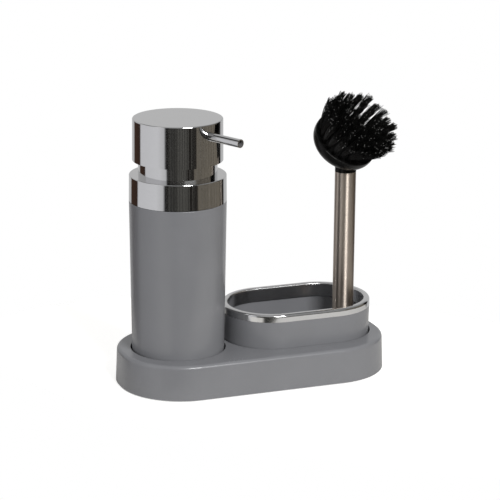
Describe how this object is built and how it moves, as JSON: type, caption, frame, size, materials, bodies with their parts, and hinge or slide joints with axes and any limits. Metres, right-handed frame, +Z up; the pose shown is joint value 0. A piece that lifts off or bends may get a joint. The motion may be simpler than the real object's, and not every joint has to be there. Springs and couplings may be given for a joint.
{
  "type": "soap pump caddy",
  "caption": "Low round-ended tray carrying a plated soap pump bottle and an oval rimmed cup with a round dish brush standing in it.",
  "frame": {"origin": "middle of the whole set's footprint box on the surface that it stands on", "axes": "+Z up, +X along the tray from the bottle to the cup, -Y to the front"},
  "size_m": [0.1974, 0.1004, 0.1926],
  "materials": {
    "grey_plastic": "moulded mid grey plastic with a satin gloss",
    "chrome_plate": "bright chrome plating",
    "steel_tube": "stainless tube brushed along its length",
    "black_plastic": "black moulded plastic, soft sheen",
    "black_bristle": "stiff black nylon filaments",
    "pump_plastic": "natural white moulded plastic",
    "clear_plastic": "milky flexible tube",
    "soft_rubber": "soft non-slip rubber",
    "valve_steel": "plain bright stainless steel"
  },
  "bodies": {
    "tray": {"tray_shell": "grey_plastic", "tray_feet": "soft_rubber"},
    "bottle": {"bottle_shell": "grey_plastic", "bottle_neck": "grey_plastic"},
    "engine": {"pump_housing": "pump_plastic", "stem_guide": "pump_plastic", "housing_gasket": "soft_rubber", "dip_tube": "clear_plastic", "pump_spring": "valve_steel"},
    "collar": {"collar": "chrome_plate", "collar_insert": "pump_plastic"},
    "plunger": {"piston": "pump_plastic"},
    "head": {"pump_cap": "chrome_plate", "actuator_core": "pump_plastic", "spout_tube": "chrome_plate", "piston_stem": "pump_plastic"},
    "inlet_ball": {"inlet_ball": "valve_steel"},
    "outlet_ball": {"outlet_ball": "valve_steel"},
    "cup": {"cup_body": "grey_plastic", "cup_rim": "chrome_plate"},
    "brush": {"brush_handle": "steel_tube", "handle_end_plug": "black_plastic", "brush_head": "black_plastic", "bristle_tufts": "black_bristle"}
  },
  "joints": [
    {"name": "bottle_lift", "type": "slide", "parent": "tray", "child": "bottle", "axis": [0, 0, 1], "range_m": [0, 0.06]},
    {"name": "pump_lift", "type": "slide", "parent": "bottle", "child": "engine", "axis": [0, 0, 1], "range_m": [0, 0.14]},
    {"name": "collar_turn", "type": "hinge", "parent": "engine", "child": "collar", "pos_m": [-0.05647, 0.00405, 0.14], "axis": [0, 0, 1], "continuous": true},
    {"name": "head_press", "type": "slide", "parent": "engine", "child": "plunger", "axis": [0, 0, -1], "range_m": [0, 0.009], "stiffness_N_per_m": 1000, "springref_m": -0.007, "deforming": ["pump_spring"]},
    {"name": "head_swivel", "type": "hinge", "parent": "plunger", "child": "head", "pos_m": [-0.05647, 0.00405, 0.14], "axis": [0, 0, 1], "continuous": true},
    {"name": "inlet_ball_lift", "type": "slide", "parent": "engine", "child": "inlet_ball", "axis": [0, 0, 1], "range_m": [0, 0.0014]},
    {"name": "outlet_ball_lift", "type": "slide", "parent": "head", "child": "outlet_ball", "axis": [0, 0, 1], "range_m": [0, 0.0013]},
    {"name": "cup_lift", "type": "slide", "parent": "tray", "child": "cup", "axis": [0, 0, 1], "range_m": [0, 0.06]},
    {"name": "brush_lift", "type": "slide", "parent": "cup", "child": "brush", "axis": [0, 0, 1], "range_m": [0, 0.08]}
  ]
}
